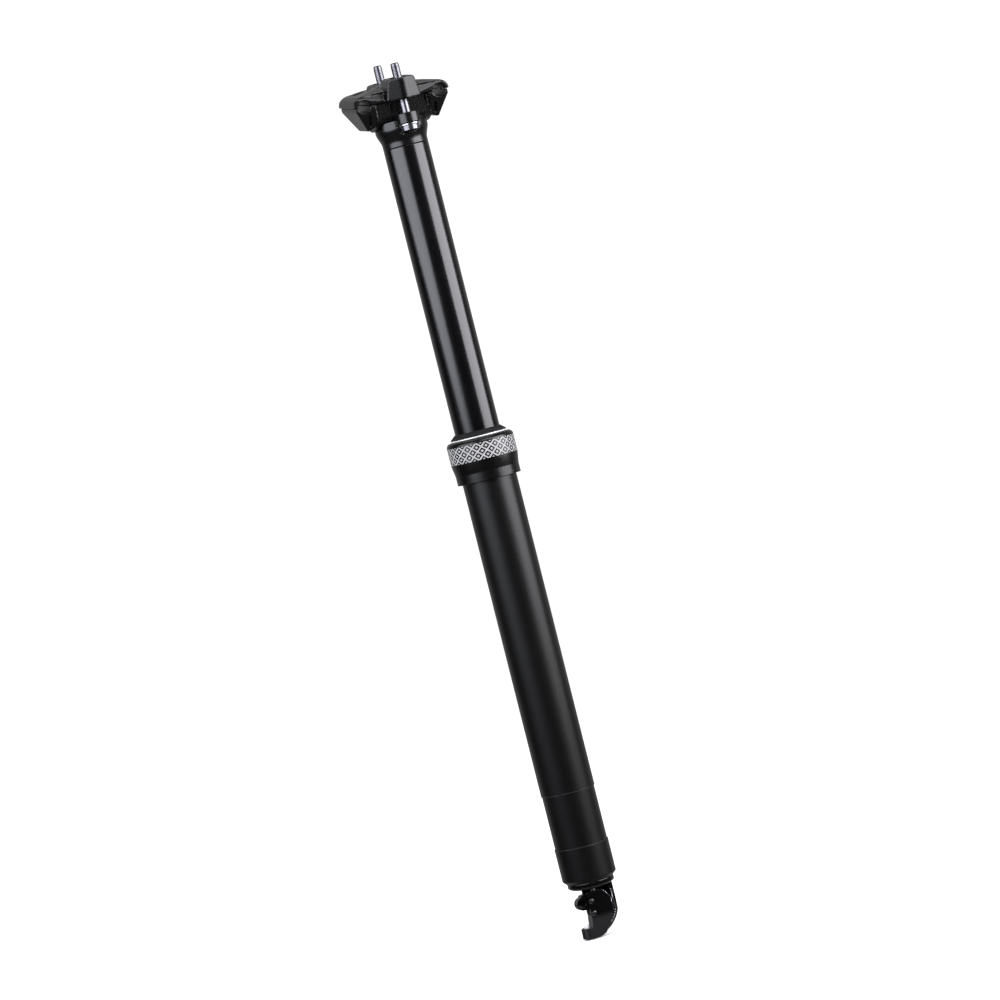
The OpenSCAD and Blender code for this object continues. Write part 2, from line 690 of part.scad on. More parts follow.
// The lever: a cam under the release pin and a nose that holds the cable's barrel
module actuator_lever() {
    nose = [-nose_reach, z_nose];
    hub = [-pivot_reach, z_pivot];
    brow = [nose[0] - clear_gap, z_pivot + brow_h];
    arm = [[hub[0], hub[1] + hub_r], brow, [brow[0], nose[1]], [nose[0], nose[1] - nose_r],
        [hub[0], hub[1] - hub_r]];
    color("#26282b") difference() {
        slab(-lever_half, lever_half) union() {
            translate(hub) circle(r = hub_r);
            translate(nose) circle(r = nose_r);
            polygon(arm);
            intersection() {
                translate([0, z_pivot]) circle(r = cam_r);
                translate([-cam_r, z_pivot - cam_r / 2]) square([2 * cam_r, 2 * cam_r]);
            }
        }
        bar_y(pivot_r + run_gap, lever_half + over, -pivot_reach, z_pivot);
        translate([-cable_reach, barrel_len - lever_half, z_barrel]) rotate([90, 0, 0])
            cylinder(r = barrel_d / 2, h = barrel_len + over);
        box(-nose_reach - nose_r - over, -cable_reach + cable_slot / 2, -cable_slot / 2, cable_slot / 2,
            z_nose - nose_r - over, z_barrel);
    }
}

module release_pin() {
    color("#c9ccd0") union() {
        rod_z(pin_r, z_pin_end, z_valve);
        rod_z(pin_flange_d / 2, z_flange, z_spring);
    }
}

module valve_head() color("#b08d4a") rod_z(valve_d / 2, z_valve, z_valve + valve_t);

// The spring's wire, swept along its curls
spring_r = (pin_r + chamber_r) / 2;
spring_rise = (z_chamber - z_spring - spring_wire - 2 * run_gap) / spring_curls;
curl_steps = 8;
wire_sides = 6;
spring_steps = spring_curls * curl_steps;
function wire_ring(i) = let (
    turn = 360 * i / curl_steps,
    out = [cos(turn), sin(turn), 0],
    run = [-sin(turn) * 2 * PI * spring_r, cos(turn) * 2 * PI * spring_r, spring_rise],
    side = cross(run, out) / norm(run),
    middle = spring_r * out + [0, 0, z_spring + run_gap + spring_wire / 2 + spring_rise * i / curl_steps])
    [for (k = [0:wire_sides - 1]) let (a = 360 * k / wire_sides)
        middle + spring_wire / 2 * (cos(a) * out + sin(a) * side)];
function wire_at(i, k) = i * wire_sides + k % wire_sides;
module pin_spring() {
    rings = [for (i = [0:spring_steps]) wire_ring(i)];
    points = [for (ring = rings) each ring];
    walls = [for (i = [0:spring_steps - 1]) for (k = [0:wire_sides - 1]) each [
        [wire_at(i, k), wire_at(i + 1, k), wire_at(i, k + 1)],
        [wire_at(i, k + 1), wire_at(i + 1, k), wire_at(i + 1, k + 1)]]];
    ends = [for (k = [1:wire_sides - 2]) each [[0, k, k + 1],
        [wire_at(spring_steps, 0), wire_at(spring_steps, k + 1), wire_at(spring_steps, k)]]];
    gap = min([for (i = [0:spring_steps - curl_steps]) for (p = rings[i])
        for (q = rings[i + curl_steps]) norm(p - q)]);
    echo(least_gap_of_pin_spring = gap);
    color("#d5d7da") polyhedron(points = points, faces = concat(walls, ends));
}

// The glossy inner tube, with seats for the lower bushing, the keys and the cartridge's clip
module stanchion() {
    color("#0d0d0f") difference() {
        rod_z(stan_r, z_stan_foot, z_stan_top);
        rod_z(stan_bore_r, z_stan_foot - over, z_stan_top + over);
        ring_z(stan_r + over, bush_r, z_bush, z_bush + lower_bush_len);
        at_keys() box(stan_r - key_sink, stan_r + over, -key_w / 2, key_w / 2, z_keys, z_keys + key_len);
        rod_z(stan_bore_r + clip_depth, z_clip, z_clip + clip_t);
    }
}

// A split sleeve that snaps into the stanchion's groove
module lower_bushing() {
    z0 = z_bush + run_gap;
    z1 = z_bush + lower_bush_len - run_gap;
    color("#6d6f6a") difference() {
        ring_z(bore_r - run_gap, bush_r + run_gap, z0, z1);
        box(0, bore_r + over, -bush_slit / 2, bush_slit / 2, z0 - over, z1 + over);
    }
}

module anti_rotation_keys() {
    color("#c9a353") at_keys()
        box(stan_r - key_sink, bore_r + key_rise, -key_w / 2, key_w / 2, z_keys, z_keys + key_len);
}

module cartridge_cylinder() color("#8f9398") ring_z(cylinder_d / 2, cyl_bore_r, z_cylinder, z_spigot);

// The gland closes the cylinder and guides the rod
module cartridge_gland() {
    z_groove = z_cylinder + gland_len / 2;
    hole = rod_r + 3 * run_gap;
    color("#5b5e63") difference() {
        union() {
            rod_z(stan_bore_r - run_gap, z_gland, z_cylinder);
            rod_z(cyl_bore_r - run_gap, z_gland, z_gland_top);
        }
        rod_z(hole, z_gland - over, z_gland_top + over);
        rod_z(rod_r + seal_ring_t, z_groove - seal_ring_w / 2, z_groove + seal_ring_w / 2);
    }
}

module rod_seal() {
    z = z_cylinder + gland_len / 2;
    half = seal_ring_w / 2 - run_gap;
    color("#26272a") ring_z(rod_r + seal_ring_t - run_gap, rod_r + run_gap, z - half, z + half);
}

module cartridge_clip() {
    out = stan_bore_r + clip_depth - run_gap;
    color("#9a9da1") difference() {
        ring_z(out, out - clip_w, z_clip + run_gap, z_gland);
        box(0, out + over, -clip_opening / 2, clip_opening / 2, z_clip - over, z_gland + over);
    }
}

module cartridge_plug() color("#5b5e63") rod_z(cyl_bore_r - run_gap, z_spigot - plug_len, z_spigot);

module floating_piston() {
    color("#b08d4a") difference() {
        rod_z(cyl_bore_r - 3 * run_gap, z_float, z_float + float_len);
        rod_z(cyl_bore_r / 2, z_float + float_len / 2, z_float + float_len + over);
        seal_groove(cyl_bore_r, z_float + float_len / 2);
    }
}

module floating_piston_ring() color("#26272a") seal_ring(cyl_bore_r, z_float + float_len / 2);

// The forged head: a spigot in the stanchion, a flared neck, a trough and two ears
module saddle_head() {
    flare_steps = 12;
    z_neck = z_stan_top + neck_foot_h;
    z_full = z_neck + neck_flare_h;
    z_solid = z_stan_top + spigot_len / 3;
    spigot_r = stan_bore_r - run_gap;
    flare = [for (i = [0:flare_steps]) let (t = i / flare_steps)
        [stan_r + neck_flare * t * t * (3 - 2 * t), between(z_neck, z_full, t)]];
    head_room = washer_d / 2 + clear_gap;
    color("#121214") difference() {
        union() {
            rotate_extrude() polygon(concat([[0, z_solid], [spigot_bore / 2, z_solid],
                [spigot_bore / 2, z_spigot], [spigot_r, z_spigot], [spigot_r, z_stan_top],
                [stan_r, z_stan_top]], flare, [[neck_max_r, z_head_lip], [0, z_head_lip]]));
            at_bolts() rod_z(ear_w / 2, z_ear, z_ear + ear_t);
            box(-ear_w / 2, ear_w / 2, -bolt_y, bolt_y, z_ear, z_ear + ear_t);
        }
        bar_x(trough_r + run_gap, 2 * neck_max_r, 0, z_tilt);
        at_bolts() rod_z(bolt_r + clear_gap, z_ear - over, z_ear + ear_t + over);
        at_bolts() rod_z(head_room, z_bolt - bolt_head_h - clear_gap, z_ear);
    }
}

// The two bolts, pushed up through the ears, with a hexagon socket in each head
module clamp_bolts() {
    z_head = z_bolt - bolt_head_h;
    color("#c8cbd0") for (side = [-1, 1]) translate([0, side * bolt_y, 0]) difference() {
        union() {
            rod_z(bolt_head_d / 2, z_head, z_bolt);
            rod_z(bolt_r, z_bolt - over, z_bolt + bolt_len + (side > 0 ? rear_bolt_extra : 0));
        }
        hex_z(bolt_key_af, z_head - over, z_head + bolt_key_depth);
    }
}

module clamp_washers() {
    color("#b9bcc1") at_bolts() ring_z(washer_d / 2, bolt_r + run_gap, z_bolt, z_ear);
}

// The cradle that tilts in the trough, with a leg under each rail
module lower_cradle() {
    z_top = z_rail - split_gap / 2;
    z_tip = z_rail - leg_h;
    tip_w = 2 * clear_gap;
    half = clamp_len / 2;
    z_chin = z_rail - rail_d / 3;
    brow = [wing_reach - over, z_chin];
    sole = [leg_tip + tip_w, z_tip];
    leg = [[leg_in, z_top], [brow[0], z_top], brow, sole, [leg_tip - tip_w, z_tip],
        [leg_in, z_tip + leg_hollow]];
    leg_side = [[half, z_top], [half, z_chin], [leg_toe, z_tip]];
    dent = [-over, over / 2];
    recess_start = between(brow, sole, 0.3);
    recess_stop = between(brow, sole, 0.75);
    slit_start = between(leg_side[1], leg_side[2], 0.25);
    slit_stop = between(leg_side[1], leg_side[2], 0.8);
    slit_in = [-2 * over, 0];
    slit_out = [over, 0];
    slit = [slit_start + slit_out, slit_stop + slit_out, slit_stop + slit_in, slit_start + slit_in];
    slit_x = leg_tip - leg_slit;
    color("#1d1e20") tilted() difference() {
        union() {
            intersection() {
                bar_x(trough_r, leg_in + over, 0, z_tilt);
                box(-leg_in - over, leg_in + over, -cradle_half, cradle_half, z_tilt - trough_r, z_top);
            }
            intersection() {
                for (side = [0, 1]) mirror([side, 0, 0]) slab(-half, half) polygon(leg);
                plank(-wing_reach, wing_reach) polygon(whole(leg_side));
            }
        }
        for (side = [0, 1]) mirror([side, 0, 0]) {
            bar_y(rail_r, half + over, rail_x, z_rail);
            slab(-half / 2, half / 2)
                polygon([recess_start, recess_stop, recess_stop + dent, recess_start + dent]);
            for (end = [0, 1]) mirror([0, end, 0])
                plank(slit_x - leg_slit / 2, slit_x + leg_slit / 2) polygon(slit);
        }
    }
}

// The upper clamp: wings over the rails and a boss round each bolt, with a pocket for its nut
module upper_clamp() {
    half = clamp_len / 2;
    z_foot_face = z_rail + split_gap / 2;
    wing_round = wing_reach - rail_x + over;
    wing = concat([[0, z_foot_face], [wing_reach, z_foot_face]],
        arc([wing_reach - wing_round, z_rail + over], wing_round, clamp_h - 3 * over, 0, 75, 8),
        [[boss_foot, z_rail + clamp_h], [0, z_rail + clamp_h]]);
    wing_edge = wing[len(wing) - 3];
    color("#1d1e20") tilted() difference() {
        union() {
            intersection() {
                slab(-half, half) polygon(whole(wing));
                bar_x(crown_r, wing_reach + over, 0, z_rail + clamp_h - crown_r);
            }
            clamp_boss(-1, boss_h, z_foot_face);
            clamp_boss(1, rear_boss_h, z_foot_face);
        }
        for (side = [0, 1]) mirror([side, 0, 0]) {
            bar_y(rail_r, half + over, rail_x, z_rail);
            slab(-over, half / 2) polygon(wing_slot([boss_foot, z_rail + clamp_h], wing_edge));
        }
        nut_pocket(-1, boss_h);
        nut_pocket(1, rear_boss_h);
    }
}

// The long recess across the top of a wing, as deep all along as the wing's top runs
function wing_slot(inner, outer) = let (
    a = between(inner, outer, 0.12),
    b = between(inner, outer, 0.92),
    deep = [0, -wing_recess])
    [a + deep, b + deep, b - deep, a - deep];

// A boss with a rounded prow and rounded top corners
module clamp_boss(side, height, z_low) {
    nut_y = side * bolt_at(side, rest_tilt, nut_h);
    reach = nut_y + boss_reach;
    prow = arc([0, reach - prow_r], prow_r, prow_r, 90 - prow_angle, 90, 4);
    shoulder = prow[0][1] - (boss_foot - prow[0][0]) * tan(prow_angle);
    root = nut_y - boss_reach;
    z_high = z_rail + height;
    front = concat([[boss_foot, z_low]],
        arc([boss_top - boss_round, z_high - boss_round], boss_round, boss_round, 0, 90, 6));
    plan = whole(concat([[boss_foot, root], [boss_foot, shoulder]], prow));
    intersection() {
        slab(-reach, reach) polygon(whole(front));
        translate([0, 0, z_rail]) linear_extrude(boss_h + over)
            polygon([for (p = plan) [p[0], side * p[1]]]);
    }
}

// The pocket of a nut and the slot of its bolt, long enough for every tilt
module nut_pocket(side, height) {
    z_nut = z_rail + nut_h;
    pocket_x = nut_len / 2 + clear_gap;
    pocket_r = nut_r + clear_gap;
    bolt_room = bolt_r + clear_gap;
    at_nut = bolt_path(side, [nut_h]);
    below = bolt_path(side, [0, nut_h]);
    above = bolt_path(side, [height]);
    for (y = [min(at_nut), max(at_nut)]) bar_x(pocket_r, pocket_x, y, z_nut);
    box(-pocket_x, pocket_x, min(at_nut), max(at_nut), z_nut - pocket_r, z_nut);
    box(-pocket_x, pocket_x, min(min(at_nut) - pocket_r, min(above) - bolt_room),
        max(max(at_nut) + pocket_r, max(above) + bolt_room), z_nut, z_rail + boss_h + over);
    for (y = [min(below), max(below)]) translate([0, y, 0]) rod_z(bolt_room, z_rail - over, z_nut);
    box(-bolt_room, bolt_room, min(below), max(below), z_rail - over, z_nut);
}

// A nut with a round underside that sits in the boss's pocket
module clamp_nut(side) {
    y = side * bolt_y;
    z_nut = z_tilt + nut_h * cos(rest_tilt) + bolt_at(side, rest_tilt, nut_h) * sin(rest_tilt);
    color("#c8cbd0") difference() {
        intersection() {
            bar_x(nut_r, nut_len / 2, y, z_nut);
            box(-nut_len, nut_len, y - nut_r, y + nut_r, z_nut - nut_r, z_nut + nut_r / 2);
        }
        translate([0, y, 0]) rod_z(bolt_r + run_gap, z_nut - 2 * nut_r, z_nut + 2 * nut_r);
    }
}
module front_clamp_nut() clamp_nut(-1);
module rear_clamp_nut() clamp_nut(1);

outer_tube();
collar();
wiper_seal();
wiper_ring();
upper_bushing();
end_cap();
piston_rod();
piston();
piston_ring();
piston_nut();
stud_nut();
actuator_bracket();
bracket_screws();
cable_ferrule();
pivot_pin();
spacer_pin();
actuator_lever();
release_pin();
valve_head();
pin_spring();
stanchion();
lower_bushing();
anti_rotation_keys();
cartridge_cylinder();
cartridge_gland();
rod_seal();
cartridge_clip();
cartridge_plug();
floating_piston();
floating_piston_ring();
saddle_head();
clamp_bolts();
clamp_washers();
lower_cradle();
upper_clamp();
front_clamp_nut();
rear_clamp_nut();
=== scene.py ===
import json
import math
import bmesh
import bpy
from mathutils import Matrix, Vector


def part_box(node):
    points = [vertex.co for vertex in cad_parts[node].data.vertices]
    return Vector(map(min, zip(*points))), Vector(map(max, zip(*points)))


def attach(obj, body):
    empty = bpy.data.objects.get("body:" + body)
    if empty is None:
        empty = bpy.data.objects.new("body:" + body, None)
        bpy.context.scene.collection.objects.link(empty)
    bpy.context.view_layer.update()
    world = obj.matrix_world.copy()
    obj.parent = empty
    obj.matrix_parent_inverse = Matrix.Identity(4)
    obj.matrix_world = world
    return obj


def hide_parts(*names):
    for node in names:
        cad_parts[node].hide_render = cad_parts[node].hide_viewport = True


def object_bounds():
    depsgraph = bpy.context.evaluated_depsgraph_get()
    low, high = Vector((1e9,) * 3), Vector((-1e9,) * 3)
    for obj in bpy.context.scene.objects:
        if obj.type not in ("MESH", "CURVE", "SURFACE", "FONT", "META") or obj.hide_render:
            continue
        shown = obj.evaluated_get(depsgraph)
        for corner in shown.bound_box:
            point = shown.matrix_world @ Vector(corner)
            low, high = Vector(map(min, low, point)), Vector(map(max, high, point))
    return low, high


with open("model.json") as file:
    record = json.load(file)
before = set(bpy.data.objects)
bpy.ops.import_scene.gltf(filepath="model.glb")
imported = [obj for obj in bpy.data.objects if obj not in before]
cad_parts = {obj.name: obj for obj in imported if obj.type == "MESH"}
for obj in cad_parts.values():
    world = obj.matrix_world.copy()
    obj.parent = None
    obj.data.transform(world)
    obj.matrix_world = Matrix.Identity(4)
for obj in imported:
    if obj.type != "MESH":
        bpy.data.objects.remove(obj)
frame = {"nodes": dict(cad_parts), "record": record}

nodes = frame["nodes"]
cadBox = [list(corner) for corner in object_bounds()]
scene = bpy.context.scene
scene.view_settings.view_transform = "Standard"  # white stays white
mm = 0.001
print("frame loaded:", len(nodes), "nodes")


# camera, a little above the collar and leaning so that the post's top goes to the left
cameraSet = {
    # angles in degrees, lens and sensor in mm, the rest in metres
    "azimuth": -16.0,
    "distance": 2.2,
    "height": 0.071,
    "aimHeight": -0.0130,
    "aimRight": 0.0028,
    "lean": 14.1,
    "lens": 142.0,
    "sensor": 36.0,
    "farthest": 50.0,
}


def placeCamera(cfg):
    turn = math.radians(cfg["azimuth"])
    toCamera = Vector((math.sin(turn), -math.cos(turn), 0))
    side = Vector((math.cos(turn), math.sin(turn), 0))
    spot = toCamera * cfg["distance"] + Vector((0, 0, cfg["height"]))
    aim = side * cfg["aimRight"] + Vector((0, 0, cfg["aimHeight"]))
    ahead = (aim - spot).normalized()
    right = ahead.cross(Vector((0, 0, 1))).normalized()
    up = right.cross(ahead)
    lean = math.radians(cfg["lean"])
    camUp = up * math.cos(lean) + right * math.sin(lean)
    camRight = right * math.cos(lean) - up * math.sin(lean)
    data = bpy.data.cameras.new("photoCamera")
    data.lens = cfg["lens"]
    data.sensor_width = cfg["sensor"]
    data.clip_end = cfg["farthest"]
    cam = bpy.data.objects.new("photoCamera", data)
    rows = Matrix((camRight, camUp, -ahead)).transposed().to_4x4()
    cam.matrix_world = Matrix.Translation(spot) @ rows
    scene.collection.objects.link(cam)
    scene.camera = cam


placeCamera(cameraSet)
print("camera placed")


# a value between start and stop becomes one between low and high
def spread(tree, value, low, high, start=0.3, stop=0.7):
    span = tree.nodes.new("ShaderNodeMapRange")
    span.inputs["From Min"].default_value = start
    span.inputs["From Max"].default_value = stop
    span.inputs["To Min"].default_value = low
    span.inputs["To Max"].default_value = high
    tree.links.new(value, span.inputs["Value"])
    return span.outputs["Result"]


# studio: a pale floor, soft boxes round the camera, a top light, and a white sweep behind
studioSet = {
    "floorDrop": 0.0005,
    "floorRadius": 3.0,
    "floorCorners": 96,
    "floorColour": (0.92, 0.92, 0.92),
    "floorRoughness": 0.9,
    "floorGloss": 0.1,
    "boxes": [
        # name, degrees left of the camera, distance, lower edge, height, width, watts, shape, tint
        ("softboxLeft", 48.0, 1.3, 0.00, 0.90, 1.70, 14.0, "ELLIPSE", (0.94, 0.96, 1.05)),
        ("softboxRight", -68.0, 1.3, -0.02, 0.87, 1.25, 20.0, "RECTANGLE", (0.97, 0.97, 1.03)),
        ("softboxLow", -72.0, 1.3, -0.16, 0.14, 0.90, 1.45, "RECTANGLE", (1.0, 1.0, 1.0)),
        ("softboxFront", -25.0, 1.3, 0.72, 0.70, 1.00, 9.0, "RECTANGLE", (0.98, 0.98, 1.02)),
    ],
    "topLight": {"size": 1.0, "back": 0.2, "lift": 1.2, "watts": 5.0},
    "sky": (1.0, 1.0, 1.0),
    "skyStrength": 1.12,
    # what gloss sees of the sweep: dim and bright strength, and where it starts and stops
    "backGlow": (0.02, 0.45, 0.25, 0.80),
    "tableGlow": (0.0, 0.12, -0.30, -0.75),
}


def layFloor(cfg):
    bm = bmesh.new()
    bmesh.ops.create_circle(bm, cap_ends=True, segments=cfg["floorCorners"], radius=cfg["floorRadius"])
    bmesh.ops.translate(bm, verts=bm.verts, vec=(0, 0, cadBox[0][2] - cfg["floorDrop"]))
    mesh = bpy.data.meshes.new("floor")
    bm.to_mesh(mesh)
    bm.free()
    floor = bpy.data.objects.new("floor", mesh)
    scene.collection.objects.link(floor)
    paint = bpy.data.materials.new("floorPaint")
    paint.use_nodes = True
    shader = paint.node_tree.nodes["Principled BSDF"]
    shader.inputs["Base Color"].default_value = (*cfg["floorColour"], 1)
    shader.inputs["Roughness"].default_value = cfg["floorRoughness"]
    shader.inputs["Specular IOR Level"].default_value = cfg["floorGloss"]
    mesh.materials.append(paint)
    floor.visible_glossy = False


def lampAt(name, spot, target, width, height, watts, shape, tint):
    lamp = bpy.data.lights.new(name, "AREA")
    lamp.shape = shape
    lamp.color = tint
    lamp.size = width
    lamp.size_y = height
    lamp.energy = watts
    obj = bpy.data.objects.new(name, lamp)
    ahead = (target - spot).normalized()
    obj.matrix_world = Matrix.Translation(spot) @ ahead.to_track_quat("-Z", "Y").to_matrix().to_4x4()
    scene.collection.objects.link(obj)


def hangLamps(cfg, azimuth):
    for name, left, distance, low, height, width, watts, shape, tint in cfg["boxes"]:
        turn = math.radians(azimuth - left)
        spot = Vector((math.sin(turn), -math.cos(turn), 0)) * distance
        spot.z = low + height / 2
        lampAt(name, spot, Vector((0, 0, spot.z)), width, height, watts, shape, tint)
    top = cfg["topLight"]
    size = top["size"]
    spot = Vector((0, top["back"], top["lift"]))
    lampAt("softboxTop", spot, Vector((0, 0, 0)), size, size, top["watts"], "RECTANGLE", (1, 1, 1))


# the eye sees a white sweep, while gloss sees a dim one that glows behind the post and below it
def hangSweep(cfg, azimuth):
    world = bpy.data.worlds.new("studioSweep")
    scene.world = world
    world.cycles.sampling_method = "NONE"  # so that gloss sees only the dim side of the sweep
    world.use_nodes = True
    tree = world.node_tree
    tree.nodes.clear()
    out = tree.nodes.new("ShaderNodeOutputWorld")
    mix = tree.nodes.new("ShaderNodeMixShader")
    sky = tree.nodes.new("ShaderNodeBackground")
    sky.inputs["Color"].default_value = (*cfg["sky"], 1)
    sky.inputs["Strength"].default_value = cfg["skyStrength"]
    dim = tree.nodes.new("ShaderNodeBackground")
    path = tree.nodes.new("ShaderNodeLightPath")
    coords = tree.nodes.new("ShaderNodeTexCoord")
    turnTo = tree.nodes.new("ShaderNodeVectorMath")
    turnTo.operation = "DOT_PRODUCT"
    behind = math.radians(azimuth + 180)
    turnTo.inputs[1].default_value = (math.sin(behind), -math.cos(behind), 0)
    split = tree.nodes.new("ShaderNodeSeparateXYZ")
    tree.links.new(coords.outputs["Generated"], turnTo.inputs[0])
    tree.links.new(coords.outputs["Generated"], split.inputs["Vector"])
    total = tree.nodes.new("ShaderNodeMath")
    total.operation = "ADD"
    tree.links.new(spread(tree, turnTo.outputs["Value"], *cfg["backGlow"]), total.inputs[0])
    tree.links.new(spread(tree, split.outputs["Z"], *cfg["tableGlow"]), total.inputs[1])
    tree.links.new(total.outputs["Value"], dim.inputs["Strength"])
    tree.links.new(path.outputs["Is Glossy Ray"], mix.inputs["Fac"])
    tree.links.new(sky.outputs["Background"], mix.inputs[1])
    tree.links.new(dim.outputs["Background"], mix.inputs[2])
    tree.links.new(mix.outputs["Shader"], out.inputs["Surface"])


layFloor(studioSet)
hangLamps(studioSet, cameraSet["azimuth"])
hangSweep(studioSet, cameraSet["azimuth"])
print("studio lit")


# finishes: each one mixes grain, cloudiness and bump on Object coordinates
def newFinish(name):
    mat = bpy.data.materials.new(name)
    mat.use_nodes = True
    tree = mat.node_tree
    shader = tree.nodes["Principled BSDF"]
    coords = tree.nodes.new("ShaderNodeTexCoord")
    return mat, tree, shader, coords.outputs["Object"]


def grain(tree, coords, scale, detail, stretch=(1, 1, 1)):
    mapping = tree.nodes.new("ShaderNodeMapping")
    mapping.inputs["Scale"].default_value = stretch
    noise = tree.nodes.new("ShaderNodeTexNoise")
    noise.inputs["Scale"].default_value = scale
    noise.inputs["Detail"].default_value = detail
    tree.links.new(coords, mapping.inputs["Vector"])
    tree.links.new(mapping.outputs["Vector"], noise.inputs["Vector"])
    return noise.outputs["Fac"]


def shade(tree, value, dark, light, start=0.3, stop=0.7):
    ramp = tree.nodes.new("ShaderNodeValToRGB")
    ramp.color_ramp.elements[0].position = start
    ramp.color_ramp.elements[0].color = (*dark, 1)
    ramp.color_ramp.elements[1].position = stop
    ramp.color_ramp.elements[1].color = (*light, 1)
    tree.links.new(value, ramp.inputs["Fac"])
    return ramp.outputs["Color"]


def dent(tree, shader, height, strength, depth):
    bump = tree.nodes.new("ShaderNodeBump")
    bump.inputs["Strength"].default_value = strength
    bump.inputs["Distance"].default_value = depth
    tree.links.new(height, bump.inputs["Height"])
    tree.links.new(bump.outputs["Normal"], shader.inputs["Normal"])


# the colour sockets of a Mix node share their names with its number sockets, so they go by place
def blendColour(tree, factor, first, second):
    mix = tree.nodes.new("ShaderNodeMix")
    mix.data_type = "RGBA"
    tree.links.new(factor, mix.inputs[0])
    tree.links.new(first, mix.inputs[6])
    if isinstance(second, tuple):
        mix.inputs[7].default_value = (*second, 1)
    else:
        tree.links.new(second, mix.inputs[7])
    return mix.outputs[2]


def blendNumber(tree, factor, first, second):
    mix = tree.nodes.new("ShaderNodeMix")
    mix.data_type = "FLOAT"
    tree.links.new(factor, mix.inputs["Factor"])
    tree.links.new(first, mix.inputs["A"])
    mix.inputs["B"].default_value = second
    return mix.outputs["Result"]


# a fine grain of the finish's own size and a broad cloudiness, which the painted finishes share
grainSet = {"fineDetail": 3, "cloudScale": 90, "cloudDetail": 4, "bump": 0.6}


def fineAndCloud(tree, coords, size):
    fine = grain(tree, coords, 1 / (size * mm), grainSet["fineDetail"])
    cloud = grain(tree, coords, grainSet["cloudScale"], grainSet["cloudDetail"])
    return fine, cloud


finishSet = {
    # dark and light colour, roughness low and high, grain size mm, bump depth mm, metal, specular
    "satinTube": ((0.0010, 0.0010, 0.0012), (0.0017, 0.0017, 0.0019), 0.30, 0.36, 0.18, 0.006, 0.0, 0.55),
    "satinClamp": ((0.0010, 0.0010, 0.0012), (0.0020, 0.0020, 0.0022), 0.22, 0.30, 0.35, 0.005, 0.0, 0.6),
    "glossCasting": ((0.0008, 0.0008, 0.0010), (0.0015, 0.0015, 0.0017), 0.14, 0.22, 0.9, 0.010, 0.0, 0.6),
    "satinHead": ((0.0010, 0.0010, 0.0012), (0.0018, 0.0018, 0.0021), 0.22, 0.29, 0.30, 0.006, 0.0, 0.65),
    # the pale colour of the lines at the tube's step and the cap's rim: a painted highlight
    "paintedEdgeHighlight": ((0.014, 0.014, 0.015), (0.024, 0.024, 0.025), 0.34, 0.44, 0.30, 0.004, 0.0, 0.6),
    "sealRubber": ((0.0030, 0.0030, 0.0032), (0.0052, 0.0052, 0.0054), 0.55, 0.68, 0.22, 0.015, 0.0, 0.4),
    "bearingPolymer": ((0.16, 0.17, 0.15), (0.22, 0.23, 0.20), 0.45, 0.55, 0.5, 0.010, 0.0, 0.5),
    "blackSteel": ((0.10, 0.10, 0.105), (0.16, 0.16, 0.165), 0.30, 0.40, 0.4, 0.006, 1.0, 0.5),
    "darkSteel": ((0.030, 0.030, 0.033), (0.060, 0.060, 0.064), 0.30, 0.42, 0.4, 0.008, 0.9, 0.5),
    "plainAluminium": ((0.50, 0.51, 0.53), (0.60, 0.61, 0.63), 0.28, 0.38, 0.4, 0.006, 1.0, 0.5),
    "plainBrass": ((0.58, 0.42, 0.17), (0.72, 0.54, 0.25), 0.24, 0.34, 0.5, 0.006, 1.0, 0.5),
}


def plainFinish(name):
    dark, light, low, high, size, depth, metal, gloss = finishSet[name]
    mat, tree, shader, coords = newFinish(name)
    fine, cloud = fineAndCloud(tree, coords, size)
    tree.links.new(shade(tree, cloud, dark, light), shader.inputs["Base Color"])
    tree.links.new(spread(tree, fine, low, high), shader.inputs["Roughness"])
    dent(tree, shader, fine, grainSet["bump"], depth * mm)
    shader.inputs["Metallic"].default_value = metal
    shader.inputs["Specular IOR Level"].default_value = gloss
    return mat


# cast and painted: gloss above; the lower block is rougher and painted lighter, a painted sheen for the light
# its downward-tilted faces catch; the paint is thin on the edges
castSet = {
    "glossAbove": -250.5,  # mm
    "dullAndSheenBelow": -253.5,
    "dull": 0.32,
    # the lower block's lighter colour is a painted sheen, not a colour of its own
    "paintedSheenColour": (0.0075, 0.0075, 0.0080),
    "wornFrom": 0.525,  # pointiness of an edge
    "wornTo": 0.60,
    "worn": (0.03, 0.03, 0.032),
}


def castFinish(cfg):
    dark, light, low, high, size, depth, _, gloss = finishSet["glossCasting"]
    mat, tree, shader, coords = newFinish("castBracket")
    fine, cloud = fineAndCloud(tree, coords, size)
    parts = tree.nodes.new("ShaderNodeSeparateXYZ")
    tree.links.new(coords, parts.inputs["Vector"])
    lower = spread(tree, parts.outputs["Z"], 0, 1, cfg["glossAbove"] * mm, cfg["dullAndSheenBelow"] * mm)
    shape = tree.nodes.new("ShaderNodeNewGeometry")
    thin = spread(tree, shape.outputs["Pointiness"], 0, 1, cfg["wornFrom"], cfg["wornTo"])
    # below that height the colour is lightened: a painted sheen on the lower block
    withPaintedSheen = blendColour(tree, lower, shade(tree, cloud, dark, light), cfg["paintedSheenColour"])
    tree.links.new(blendColour(tree, thin, withPaintedSheen, cfg["worn"]), shader.inputs["Base Color"])
    roughness = blendNumber(tree, lower, spread(tree, fine, low, high), cfg["dull"])
    tree.links.new(roughness, shader.inputs["Roughness"])
    dent(tree, shader, fine, grainSet["bump"], depth * mm)
    shader.inputs["Specular IOR Level"].default_value = gloss
    return mat


# hard anodising, polished lengthwise, with faint long hairlines
stanchionSet = {
    "hairScale": 2600,
    "hairDetail": 2,
    "hairStretch": (1, 1, 0.012),
    "cloudScale": 45,
    "cloudDetail": 3,
    "dark": (0.0010, 0.0010, 0.0013),
    "light": (0.0018, 0.0018, 0.0022),
    "roughness": (0.16, 0.22),
    "bump": 0.25,
    "depth": 0.0015,  # mm
    "gloss": 0.75,
}


